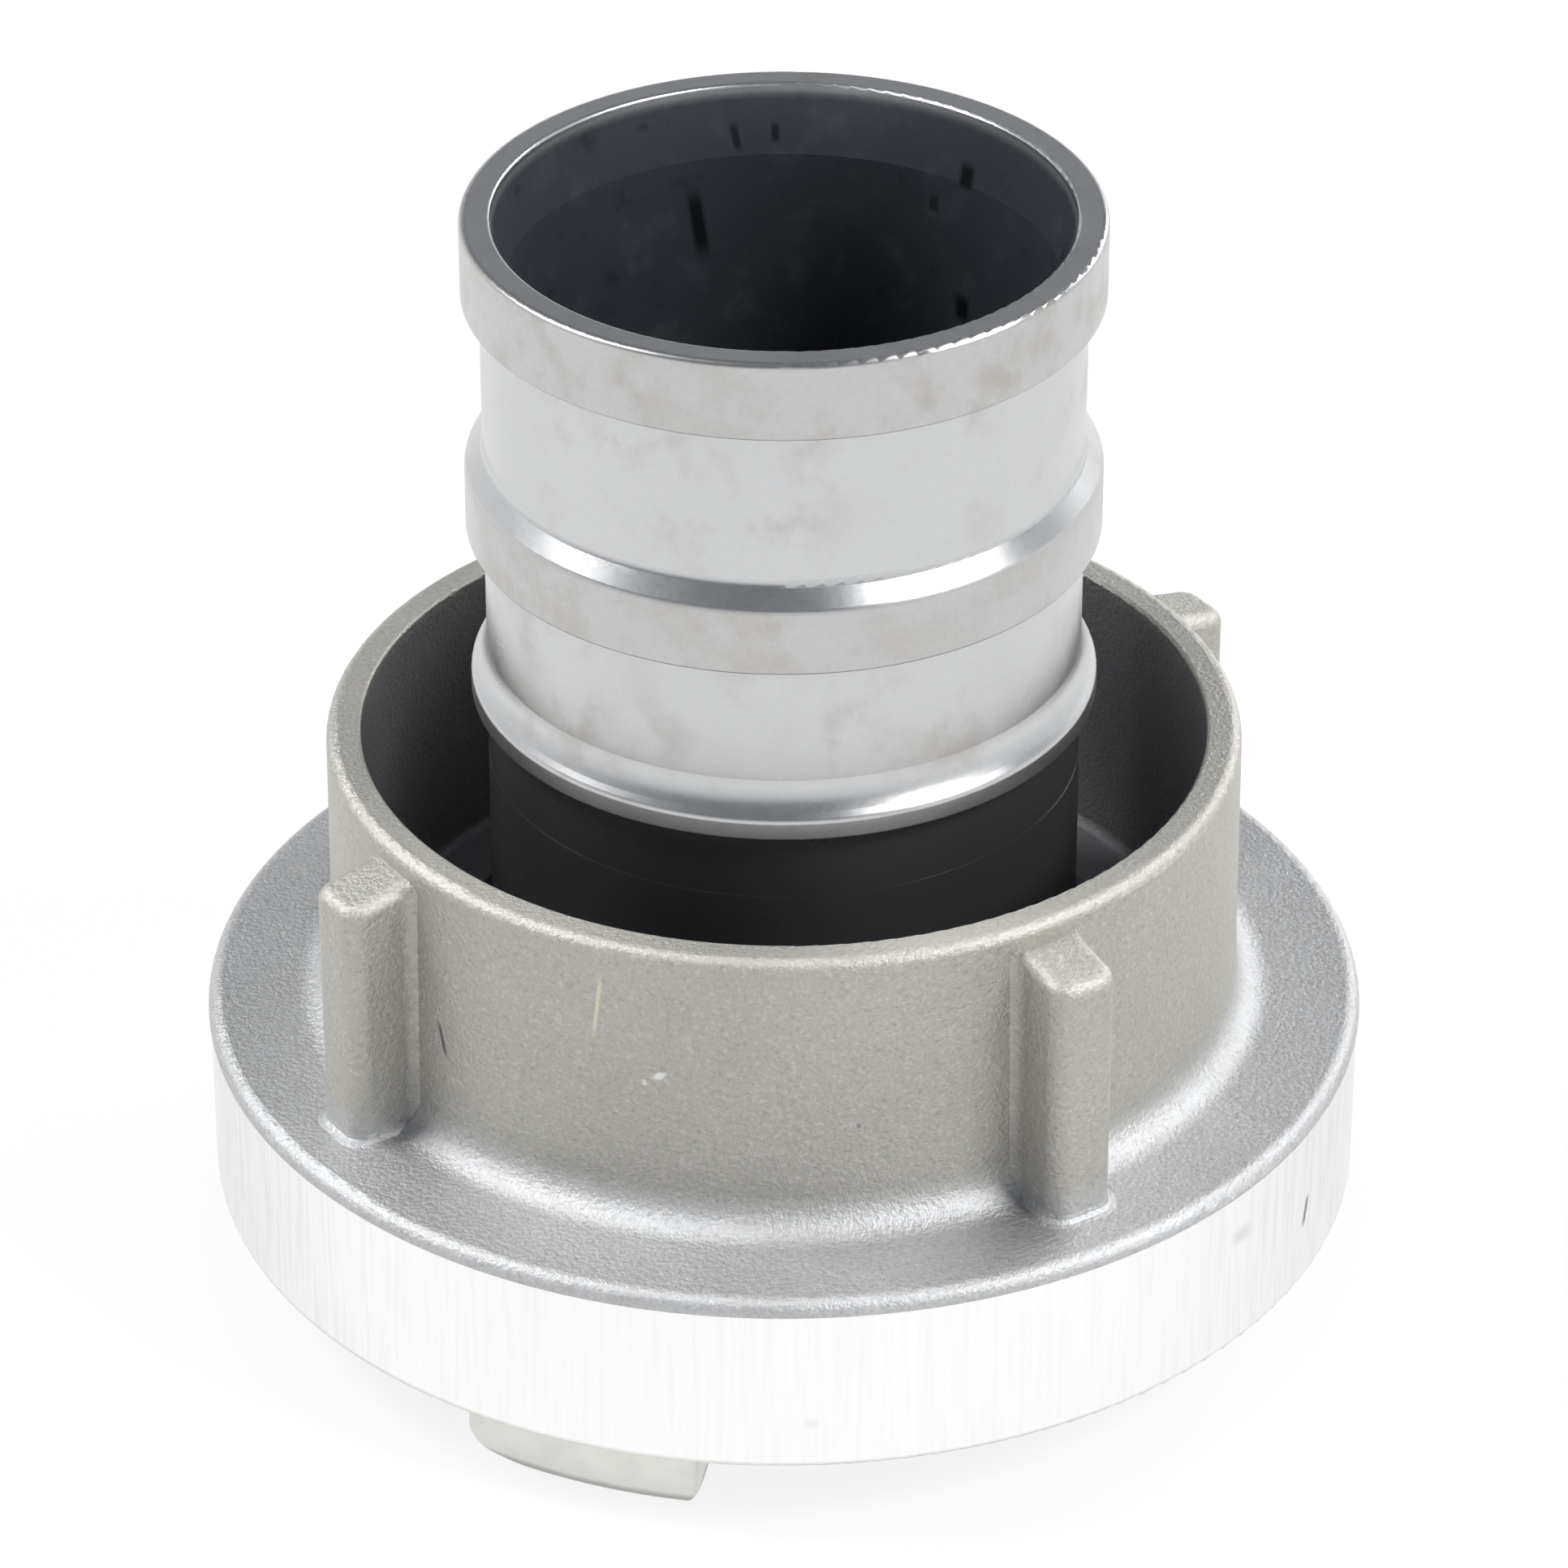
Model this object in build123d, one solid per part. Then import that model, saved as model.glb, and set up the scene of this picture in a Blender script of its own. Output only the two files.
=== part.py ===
from build123d import *

import math
import os

# Quarter-turn hose coupling: a lugged ring that swivels on a beaded hose tail.
#
# Lengths are in millimetres and angles in degrees, counted from +X towards +Y.
# The axis is Z. The coupling face looks down, and the part stands on its two lug
# tips at height 0, so the mouth of the hose tail is at the top.

# ---- Bayonet interface, shared with the mating half --------------------------------
LUG_REACH = 7.15            # how far the lugs stand out of the coupling face
LUG_COUNT = 2
LUG_ANGLE = 67.6            # middle of the first lug
LUG_SPAN = 26.6             # angle that one lug covers
NOSE_THICKNESS = 3.2        # height of the inward nose at the lug tip
NOSE_LENGTH = 4.6           # how far the nose stands in from the stem
STEM_THICKNESS = 7.4        # wall of the lug's stem
LUG_LEAD_RISE = 0.9         # the leading part of the tip slopes by this much
LUG_LEAD_SHARE = 1 / 3      # share of the lug's width that slopes
LUG_LEAD_ROUND = 2.8        # rounded leading corner
LUG_TRAIL_ROUND = 1.5       # rounded trailing corner
LUG_EDGE_BREAK = 0.5
LUG_END_ROUND = 0.6         # upright outer edges of a lug's ends
LUG_INSET = 0.15            # a lug's outer face stands in from the channel's outer wall
WINDOW_LEAD = 75.0          # from a lug's middle on to the next entry window's middle
WINDOW_PLAY = 2.8           # extra angle on each side of a mating lug
LIP_THICKNESS = 3.75        # collar lip that the mating noses pull on
LIP_LEAD_THICKNESS = 2.7    # the same lip where the noses first meet it
LIP_RAMP_SPAN = 36.0        # angle over which the lip grows to its full thickness
LIP_TO_STEM = 0.6           # play between the lip and a mating stem
NOSE_TO_COLLAR = 0.5        # play between a nose and the collar wall behind the lip
COLLAR_WALL = 2.2           # wall between the swivel's collar and the channel
CHANNEL_DEPTH = 11.0        # ring-shaped groove that the mating lugs turn in
CHANNEL_ROUND = 1.5

# ---- Flange and skirt of the lug ring ----------------------------------------------
FLANGE_WALL = 3.85          # turned outer band round the channel
CAST_STEP = 0.15            # the cast top edge stands out from the turned band
CAST_EDGE_HEIGHT = 1.4      # height of that cast edge
FLANGE_THICKNESS = 16.25
FLANGE_EDGE_ROUND = 1.2
FACE_BREAK = 0.3            # broken edges round the coupling face
WINDOW_OVERRUN = 1.0        # the window cut passes the lip by this much
HOSE_GAP = 9.2              # between the beads and the skirt's rim, for the hose
SKIRT_WALL = 2.9            # at the rim
SKIRT_DRAFT = 0.2           # each face leans by this much over the skirt's height
SKIRT_HEIGHT = 25.3         # rim above the flange
SKIRT_RIM_ROUND = 1.0       # outer edge of the rim
SKIRT_RIM_BREAK = 0.3       # inner edge of the rim
SKIRT_FOOT_ROUND = 3.0
SKIRT_FLOOR_RISE = 0.35     # floor of the hose gap above the flange's top
FLOOR_ROUND = 0.8
WEB_THICKNESS = 6.6         # web that carries the swivel

# ---- Spanner ribs on the skirt -----------------------------------------------------
RIB_COUNT = 4
RIB_ANGLE = 33.6
RIB_WIDTH = 6.0
RIB_REACH = 6.0             # outer face beyond the skirt
RIB_BELOW_RIM = 1.4         # top of the rib at the skirt
RIB_TOP_DROP = 1.5          # the top slopes down to the outer face
RIB_CORNER_ROUND = 1.8
RIB_ROOT_ROUND = 1.6
RIB_TOP_ROUND = 1.2         # all round the sloping top
RIB_FOOT_ROUND = 0.8        # hollow rounding where a rib meets the flange
RIB_FOOT_STEPS = 3
SIDE_TOLERANCE = 0.01       # how near a rib's side a corner has to lie

# ---- Hose tail ---------------------------------------------------------------------
WATERWAY_DIAMETER = 45.0
MOUTH_RIM = 2.5             # width of the rim at the wide end of the lead-in cone
MOUTH_CONE_HEIGHT = 6.0
TAIL_HEIGHT = 88.75         # mouth above the coupling face
BARREL_WALL = 2.2
LOWER_BARREL_WALL = 2.26    # under the hose stop, with a faint turned step
LOWER_BARREL_TOP = 39.25    # above the coupling face
BEAD_REACH = 1.5            # beads over the barrel
MOUTH_BEAD_HEIGHT = 6.7
MOUTH_ROUND = 0.5
MOUTH_INNER_BREAK = 0.3
MIDDLE_BEAD_BOTTOM = 60.95  # above the coupling face
MIDDLE_BEAD_HEIGHT = 5.6    # straight part
MIDDLE_BEAD_SHOULDER = 1.9  # sloping shoulder above it
SHOULDER_ROUND = 1.0
HOSE_STOP_BOTTOM = 45.45    # above the coupling face
HOSE_STOP_REACH = 1.35      # hose stop over the barrel
HOSE_STOP_HEIGHT = 1.7
HOSE_STOP_TOP_ROUND = 0.7
HOSE_STOP_FILLET = 4.0
BEAD_BREAK = 0.15

# ---- Swivel: journal, collar and snap ring -----------------------------------------
JOURNAL_OVER_BEADS = 0.1    # the beads pass through the web with this to spare
JOURNAL_CLEARANCE = 0.06    # radial running clearance in the web
TAIL_COLLAR_CLEARANCE = 0.3  # round the tail's collar in the lug ring
TAIL_COLLAR_RECESS = 0.3    # its face lies above the coupling face
SWIVEL_END_PLAY = 0.12      # between the tail's collar and the web
SNAP_THICKNESS = 2.0
SNAP_WIDTH = 2.7
SNAP_EDGE_ROUND = 0.2
SNAP_GROOVE_DEPTH = 1.1
SNAP_FLOOR_PLAY = 0.12      # between the snap ring and the floor of the hose gap
SNAP_GROOVE_PLAY = 0.1
SNAP_GAP_ANGLE = 14.0
SNAP_GAP_MIDDLE = 120.0
GROOVE_SHOULDER = 1.6       # journal left above the snap ring's groove
JOURNAL_CHAMFER = 0.8

# ---- Face seal ---------------------------------------------------------------------
SEAL_SETBACK = 0.5          # the seal's bore stands back from the waterway
SEAL_WIDTH = 5.0
SEAL_POCKET_WALL = 2.0      # collar left outside the pocket
SEAL_POCKET_DEPTH = 6.5
SEAL_PROUD = 1.0            # seal beyond the coupling face
SEAL_BEAD_REACH = 1.1       # retaining bead into the undercut of its pocket
SEAL_BEAD_HEIGHT = 2.4
SEAL_LIP_ROUND = 1.2
SEAL_EDGE_ROUND = 0.3
SEAL_CLEARANCE = 0.05

# ---- Places worked out from the sizes above ----------------------------------------
FACE = LUG_REACH
FLANGE_TOP = FACE + FLANGE_THICKNESS
FLOOR = FLANGE_TOP + SKIRT_FLOOR_RISE
WEB_BOTTOM = FLOOR - WEB_THICKNESS
RIM = FLANGE_TOP + SKIRT_HEIGHT

# Outwards from the waterway: the tail, its seal and collar, then the lug ring.
WATERWAY_RADIUS = WATERWAY_DIAMETER / 2
BARREL_RADIUS = WATERWAY_RADIUS + BARREL_WALL
BEAD_RADIUS = BARREL_RADIUS + BEAD_REACH
JOURNAL_RADIUS = BEAD_RADIUS + JOURNAL_OVER_BEADS
SEAL_BORE_RADIUS = WATERWAY_RADIUS + SEAL_SETBACK
SEAL_RADIUS = SEAL_BORE_RADIUS + SEAL_WIDTH
TAIL_COLLAR_RADIUS = SEAL_RADIUS + SEAL_POCKET_WALL
COLLAR_BORE = TAIL_COLLAR_RADIUS + TAIL_COLLAR_CLEARANCE
COLLAR_RADIUS = COLLAR_BORE + COLLAR_WALL
NOSE_RADIUS = COLLAR_RADIUS + NOSE_TO_COLLAR    # half of the 66 mm lug spacing
STEM_RADIUS = NOSE_RADIUS + NOSE_LENGTH
LIP_RADIUS = STEM_RADIUS - LIP_TO_STEM
LUG_RADIUS = STEM_RADIUS + STEM_THICKNESS
CHANNEL_RADIUS = LUG_RADIUS + LUG_INSET
FLANGE_RADIUS = CHANNEL_RADIUS + FLANGE_WALL
SKIRT_RADIUS = BEAD_RADIUS + HOSE_GAP + SKIRT_WALL

LUG_ANGLES = [LUG_ANGLE + turn * 360 / LUG_COUNT for turn in range(LUG_COUNT)]
WINDOW_SPAN = LUG_SPAN + 2 * WINDOW_PLAY

SNAP_BOTTOM = FLOOR + SNAP_FLOOR_PLAY
SNAP_INNER_RADIUS = JOURNAL_RADIUS - SNAP_GROOVE_DEPTH + SNAP_GROOVE_PLAY
COLLAR_FACE = FACE + TAIL_COLLAR_RECESS
POCKET_FLOOR = COLLAR_FACE + SEAL_POCKET_DEPTH


def turned(corners, span=360.0, start=0.0):
    """Revolves a closed outline of (radius, height, corner rounding) about the axis."""
    places = [(radius, height) for radius, height, _ in corners]
    roundings = [rounding for _, _, rounding in corners]
    outline = FilletPolyline(*places, radius=roundings, close=True)
    section = Plane.XZ * make_face(outline)
    return Rot(0, 0, start) * revolve(section, Axis.Z, revolution_arc=span)


def sector(inner, outer, bottom, top, span, middle):
    """A block of a ring between two radii and two heights."""
    corners = [(inner, bottom, 0), (outer, bottom, 0), (outer, top, 0), (inner, top, 0)]
    return turned(corners, span, middle - span / 2)


def ring_blank():
    """Flange, skirt, web, collar with its lip, and the channel, all turned shapes."""
    lip_top = FACE + LIP_THICKNESS
    channel_floor = FACE + CHANNEL_DEPTH
    foot_radius = SKIRT_RADIUS + SKIRT_DRAFT
    inner_rim = SKIRT_RADIUS - SKIRT_WALL
    corners = [
        (COLLAR_BORE, FACE, FACE_BREAK),
        (LIP_RADIUS, FACE, FACE_BREAK),
        (LIP_RADIUS, lip_top, 0),
        (COLLAR_RADIUS, lip_top, 0),
        (COLLAR_RADIUS, channel_floor, CHANNEL_ROUND),
        (CHANNEL_RADIUS, channel_floor, CHANNEL_ROUND),
        (CHANNEL_RADIUS, FACE, FACE_BREAK),
        (FLANGE_RADIUS, FACE, FACE_BREAK),
        (FLANGE_RADIUS, FLANGE_TOP - CAST_EDGE_HEIGHT, 0),
        (FLANGE_RADIUS + CAST_STEP, FLANGE_TOP - CAST_EDGE_HEIGHT, 0),
        (FLANGE_RADIUS + CAST_STEP, FLANGE_TOP, FLANGE_EDGE_ROUND),
        (foot_radius, FLANGE_TOP, SKIRT_FOOT_ROUND),
        (SKIRT_RADIUS, RIM, SKIRT_RIM_ROUND),
        (inner_rim, RIM, SKIRT_RIM_BREAK),
        (inner_rim - SKIRT_DRAFT, FLOOR, FLOOR_ROUND),
        (JOURNAL_RADIUS + JOURNAL_CLEARANCE, FLOOR, 0),
        (JOURNAL_RADIUS + JOURNAL_CLEARANCE, WEB_BOTTOM, 0),
        (COLLAR_BORE, WEB_BOTTOM, 0),
    ]
    return turned(corners)


def entry_window(middle):
    """Cut through the lip that lets a mating nose in."""
    return sector(COLLAR_RADIUS, CHANNEL_RADIUS, FACE - WINDOW_OVERRUN,
                  FACE + LIP_THICKNESS + WINDOW_OVERRUN, WINDOW_SPAN, middle)


def lip_ramp(window_middle):
    """Sloping cut that thins the back of the lip next to an entry window."""
    start = window_middle + WINDOW_SPAN / 2
    end = start + LIP_RAMP_SPAN
    run = LIP_RADIUS * math.sin(math.radians(LIP_RAMP_SPAN))
    slope = math.degrees(math.atan((LIP_THICKNESS - LIP_LEAD_THICKNESS) / run))
    above = Pos(0, 0, FACE + LIP_THICKNESS) * Rot(0, 0, end) * Rot(slope, 0, 0) * Box(
        2 * CHANNEL_RADIUS, 2 * run, LIP_THICKNESS, align=(Align.MIN, Align.MAX, Align.MIN))
    reach = sector(COLLAR_RADIUS, CHANNEL_RADIUS, FACE, FACE + 2 * LIP_THICKNESS,
                   LIP_RAMP_SPAN, start + LIP_RAMP_SPAN / 2)
    return above & reach


def lug(middle):
    """One hook: a stem from the channel's floor and an inward nose at the tip."""
    root = FACE + CHANNEL_DEPTH + CHANNEL_ROUND
    corners = [
        (NOSE_RADIUS, 0, LUG_EDGE_BREAK),
        (LUG_RADIUS, 0, LUG_EDGE_BREAK),
        (LUG_RADIUS, FACE, 0),
        (STEM_RADIUS, FACE, 0),
        (STEM_RADIUS, NOSE_THICKNESS, LUG_EDGE_BREAK),
        (NOSE_RADIUS, NOSE_THICKNESS, LUG_EDGE_BREAK),
    ]
    block = turned(corners, LUG_SPAN, -LUG_SPAN / 2)
    half = math.radians(LUG_SPAN / 2)
    width = 2 * LUG_RADIUS * math.sin(half)
    lead_end = (LUG_LEAD_SHARE - 1 / 2) * width
    outline = FilletPolyline(
        (-width / 2, FACE), (-width / 2, LUG_LEAD_RISE), (lead_end, 0),
        (width / 2, 0), (width / 2, FACE),
        radius=[0, LUG_LEAD_ROUND, 0, LUG_TRAIL_ROUND, 0], close=True)
    front = extrude(Plane.YZ * make_face(outline), LUG_RADIUS)
    reach = 2 * LUG_RADIUS * math.cos(half)
    plan = make_face(Polyline((0, 0), (reach, -width), (reach, width), close=True))
    plan &= Circle(LUG_RADIUS)
    plan = fillet(plan.vertices().sort_by(Axis.X)[-2:], LUG_END_ROUND)
    hook = block & front & extrude(plan, FACE)
    stem = sector(STEM_RADIUS, CHANNEL_RADIUS + CHANNEL_ROUND, FACE, root, LUG_SPAN, 0)
    return Rot(0, 0, middle) * (hook + stem)


def rib_foot(plan):
    """Hollow rounding round a rib's foot, as short tapered steps."""
    rise = 90 / RIB_FOOT_STEPS
    foot = []
    for step in range(RIB_FOOT_STEPS):
        low, high = (math.radians(rise * end) for end in (step, step + 1))
        spreads = [RIB_FOOT_ROUND * (1 - math.sin(turn)) for turn in (low, high)]
        heights = [RIB_FOOT_ROUND * (1 - math.cos(turn)) for turn in (low, high)]
        height = heights[1] - heights[0]
        lean = math.degrees(math.atan((spreads[0] - spreads[1]) / height))
        foot.append(Pos(0, 0, FLANGE_TOP + heights[0]) * extrude(
            offset(plan, spreads[0]), height, taper=lean))
    return foot


def rib():
    """One spanner rib, built along +X with flared roots and a sloping top."""
    root_radius = SKIRT_RADIUS - SKIRT_DRAFT
    outer = SKIRT_RADIUS + RIB_REACH
    core = SKIRT_RADIUS - SKIRT_WALL / 2
    plan = Circle(root_radius) + Pos(outer / 2, 0) * Rectangle(outer, RIB_WIDTH)
    plan = fillet(plan.vertices().sort_by(Axis.X)[-2:], RIB_CORNER_ROUND)
    sides = [corner for corner in plan.vertices()
             if abs(abs(corner.Y) - RIB_WIDTH / 2) < SIDE_TOLERANCE]
    roots = [corner for corner in sides if corner.X < SKIRT_RADIUS]
    plan = fillet(roots, RIB_ROOT_ROUND)
    plan &= Pos(core, 0) * Rectangle(outer, 3 * RIB_WIDTH, align=(Align.MIN, Align.CENTER))
    top = RIM - RIB_BELOW_RIM
    bottom = FLANGE_TOP - SKIRT_FLOOR_RISE
    outline = Polyline(
        (core, bottom), (outer, bottom), (outer, top - RIB_TOP_DROP), (core, top), close=True)
    side = extrude(Plane.XZ * make_face(outline), 2 * RIB_WIDTH, both=True)
    post = Pos(0, 0, bottom) * extrude(plan, top - bottom) & side
    slope = (post.faces() | GeomType.PLANE).sort_by(Axis.Z)[-1]
    rims = [edge for edge in slope.edges() if edge.center().X > root_radius - RIB_ROOT_ROUND / 2]
    post = fillet(rims, RIB_TOP_ROUND)
    for step in rib_foot(plan):
        post += step
    return post


def lug_ring():
    """Cast ring: flange, skirt, ribs, bayonet collar, channel and lugs in one piece."""
    ring = ring_blank()
    for middle in LUG_ANGLES:
        window = middle + WINDOW_LEAD
        ring -= entry_window(window)
        ring -= lip_ramp(window)
    for middle in LUG_ANGLES:
        ring += lug(middle)
    one_rib = rib()
    for turn in range(RIB_COUNT):
        ring += Rot(0, 0, RIB_ANGLE + turn * 360 / RIB_COUNT) * one_rib
    return ring


def hose_tail():
    """Turned tail: seal pocket, swivel collar, journal, barrel, beads and mouth."""
    bore = WATERWAY_RADIUS
    stop = BARREL_RADIUS + HOSE_STOP_REACH
    lower = WATERWAY_RADIUS + LOWER_BARREL_WALL
    collar = TAIL_COLLAR_RADIUS
    undercut = SEAL_RADIUS + SEAL_BEAD_REACH
    groove_bottom = SNAP_BOTTOM - SNAP_GROOVE_PLAY
    groove_top = SNAP_BOTTOM + SNAP_THICKNESS + SNAP_GROOVE_PLAY
    groove_radius = JOURNAL_RADIUS - SNAP_GROOVE_DEPTH
    journal_top = groove_top + GROOVE_SHOULDER
    mouth = FACE + TAIL_HEIGHT
    mouth_bead = mouth - MOUTH_BEAD_HEIGHT
    middle_bead = FACE + MIDDLE_BEAD_BOTTOM
    shoulder = middle_bead + MIDDLE_BEAD_HEIGHT
    hose_stop = FACE + HOSE_STOP_BOTTOM
    corners = [
        (bore, POCKET_FLOOR, BEAD_BREAK),
        (undercut, POCKET_FLOOR, 0),
        (undercut, POCKET_FLOOR - SEAL_BEAD_HEIGHT, 0),
        (SEAL_RADIUS, POCKET_FLOOR - SEAL_BEAD_HEIGHT, 0),
        (SEAL_RADIUS, COLLAR_FACE, FACE_BREAK),
        (collar, COLLAR_FACE, FACE_BREAK),
        (collar, WEB_BOTTOM - SWIVEL_END_PLAY, FACE_BREAK),
        (JOURNAL_RADIUS, WEB_BOTTOM - SWIVEL_END_PLAY, 0),
        (JOURNAL_RADIUS, groove_bottom, 0),
        (groove_radius, groove_bottom, 0),
        (groove_radius, groove_top, 0),
        (JOURNAL_RADIUS, groove_top, 0),
        (JOURNAL_RADIUS, journal_top - JOURNAL_CHAMFER, 0),
        (JOURNAL_RADIUS - JOURNAL_CHAMFER, journal_top, 0),
        (lower, journal_top, 0),
        (lower, FACE + LOWER_BARREL_TOP, 0),
        (BARREL_RADIUS, FACE + LOWER_BARREL_TOP, 0),
        (BARREL_RADIUS, hose_stop, 0),
        (stop, hose_stop, BEAD_BREAK),
        (stop, hose_stop + HOSE_STOP_HEIGHT, HOSE_STOP_TOP_ROUND),
        (BARREL_RADIUS, hose_stop + 2 * HOSE_STOP_HEIGHT, HOSE_STOP_FILLET),
        (BARREL_RADIUS, middle_bead, 0),
        (BEAD_RADIUS, middle_bead, BEAD_BREAK),
        (BEAD_RADIUS, shoulder, SHOULDER_ROUND),
        (BARREL_RADIUS, shoulder + MIDDLE_BEAD_SHOULDER, SHOULDER_ROUND),
        (BARREL_RADIUS, mouth_bead, 0),
        (BEAD_RADIUS, mouth_bead, BEAD_BREAK),
        (BEAD_RADIUS, mouth, MOUTH_ROUND),
        (BEAD_RADIUS - MOUTH_RIM, mouth, MOUTH_INNER_BREAK),
        (bore, mouth - MOUTH_CONE_HEIGHT, 0),
    ]
    return turned(corners)


def snap_ring():
    """Split spring ring in the journal's groove, over the floor of the hose gap."""
    corners = [
        (SNAP_INNER_RADIUS, SNAP_BOTTOM, SNAP_EDGE_ROUND),
        (SNAP_INNER_RADIUS + SNAP_WIDTH, SNAP_BOTTOM, SNAP_EDGE_ROUND),
        (SNAP_INNER_RADIUS + SNAP_WIDTH, SNAP_BOTTOM + SNAP_THICKNESS, SNAP_EDGE_ROUND),
        (SNAP_INNER_RADIUS, SNAP_BOTTOM + SNAP_THICKNESS, SNAP_EDGE_ROUND),
    ]
    return turned(corners, 360 - SNAP_GAP_ANGLE, SNAP_GAP_MIDDLE + SNAP_GAP_ANGLE / 2)


def face_seal():
    """Rubber ring that stands proud of the coupling face, with a retaining bead."""
    body = SEAL_RADIUS - SEAL_CLEARANCE
    bead = body + SEAL_BEAD_REACH - SEAL_CLEARANCE
    seat = POCKET_FLOOR - SEAL_CLEARANCE
    bead_bottom = seat - SEAL_BEAD_HEIGHT + 2 * SEAL_CLEARANCE
    bore = SEAL_BORE_RADIUS
    corners = [
        (bore, FACE - SEAL_PROUD, SEAL_LIP_ROUND),
        (body, FACE - SEAL_PROUD, SEAL_LIP_ROUND),
        (body, bead_bottom, 0),
        (bead, bead_bottom, SEAL_EDGE_ROUND),
        (bead, seat, SEAL_EDGE_ROUND),
        (bore, seat, SEAL_EDGE_ROUND),
    ]
    return turned(corners)


def main():
    """Builds each separate piece and writes it under its own name."""
    os.makedirs("parts", exist_ok=True)
    pieces = {
        "lug_ring": lug_ring,
        "hose_tail": hose_tail,
        "snap_ring": snap_ring,
        "face_seal": face_seal,
    }
    for name, make in pieces.items():
        export_step(make(), f"parts/{name}.step")


main()
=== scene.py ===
import logging
import math
from dataclasses import dataclass, field
from enum import Enum
from typing import Any, Mapping, Optional, Union

import bpy
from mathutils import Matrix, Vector

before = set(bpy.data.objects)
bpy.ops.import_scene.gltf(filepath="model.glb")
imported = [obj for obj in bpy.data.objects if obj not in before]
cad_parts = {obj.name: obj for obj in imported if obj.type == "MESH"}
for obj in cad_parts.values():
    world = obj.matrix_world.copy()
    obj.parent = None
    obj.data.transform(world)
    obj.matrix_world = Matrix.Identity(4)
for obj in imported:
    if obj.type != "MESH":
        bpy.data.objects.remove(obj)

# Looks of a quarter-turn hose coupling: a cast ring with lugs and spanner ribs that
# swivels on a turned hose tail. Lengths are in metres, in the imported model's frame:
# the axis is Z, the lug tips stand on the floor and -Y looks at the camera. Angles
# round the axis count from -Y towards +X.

LOG = logging.getLogger("coupling")
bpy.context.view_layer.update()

Colour = tuple[float, float, float]
Point = tuple[float, float, float]
Edge = tuple[float, float]          # a mask is 0 at the first value and 1 at the second
Span = tuple[float, float]          # lowest and highest value of a band

FULL_WHITE: Colour = (1.0, 1.0, 1.0)


class Piece(Enum):
    """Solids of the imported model."""

    LUG_RING = "lug_ring"
    HOSE_TAIL = "hose_tail"
    SNAP_RING = "snap_ring"
    FACE_SEAL = "face_seal"


class Socket(Enum):
    """Places of the sockets on a Mix node that mixes colours."""

    FACTOR = 0
    FIRST = 6
    SECOND = 7
    RESULT = 2


# ---- Nodes and shader maths ----------------------------------------------------------

def with_alpha(colour: Colour) -> tuple[float, float, float, float]:
    """Adds full alpha to a colour."""
    return (*colour, 1.0)


class Graph:
    """Adds nodes to one node tree."""

    def __init__(self, tree: bpy.types.NodeTree) -> None:
        """Empties the tree.

        Args:
            tree: Node tree of a material or a world.
        """
        self.tree = tree
        self.tree.nodes.clear()

    def node(self, kind: str, settings: Optional[Mapping[str, Any]] = None,
             inputs: Optional[Mapping[Union[int, str], Any]] = None) -> bpy.types.Node:
        """Adds one node.

        Args:
            kind: Blender's type name of the node.
            settings: Properties of the node, set before its sockets.
            inputs: Values or links of its sockets, by place or name.

        Returns:
            The node.
        """
        node = self.tree.nodes.new(kind)
        for name, setting in (settings or {}).items():
            setattr(node, name, setting)
        for name, source in (inputs or {}).items():
            socket = node.inputs[name]
            if isinstance(source, Value):
                source = source.socket
            if isinstance(source, bpy.types.NodeSocket):
                self.tree.links.new(source, socket)
            else:
                socket.default_value = source
        return node

    def math(self, operation: str, first: Any, second: Any = 0.0,
             clamp: bool = False) -> "Value":
        """Adds one Math node.

        Args:
            operation: Blender's name of the operation.
            first: First operand.
            second: Second operand.
            clamp: Whether the result is kept between 0 and 1.

        Returns:
            The node's result.
        """
        node = self.node("ShaderNodeMath", {"operation": operation, "use_clamp": clamp},
                         {0: first, 1: second})
        return Value(self, node.outputs[0])

    def mix(self, factor: Any, first: Any, second: Any) -> bpy.types.NodeSocket:
        """Mixes two colours.

        Args:
            factor: Share of the second colour.
            first: First colour, as three numbers or a socket.
            second: Second colour, as three numbers or a socket.

        Returns:
            The socket of the mixed colour.
        """
        first, second = (with_alpha(colour) if isinstance(colour, tuple) else colour
                         for colour in (first, second))
        node = self.node("ShaderNodeMix", {"data_type": "RGBA"},
                         {Socket.FACTOR.value: factor, Socket.FIRST.value: first,
                          Socket.SECOND.value: second})
        return node.outputs[Socket.RESULT.value]


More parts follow.
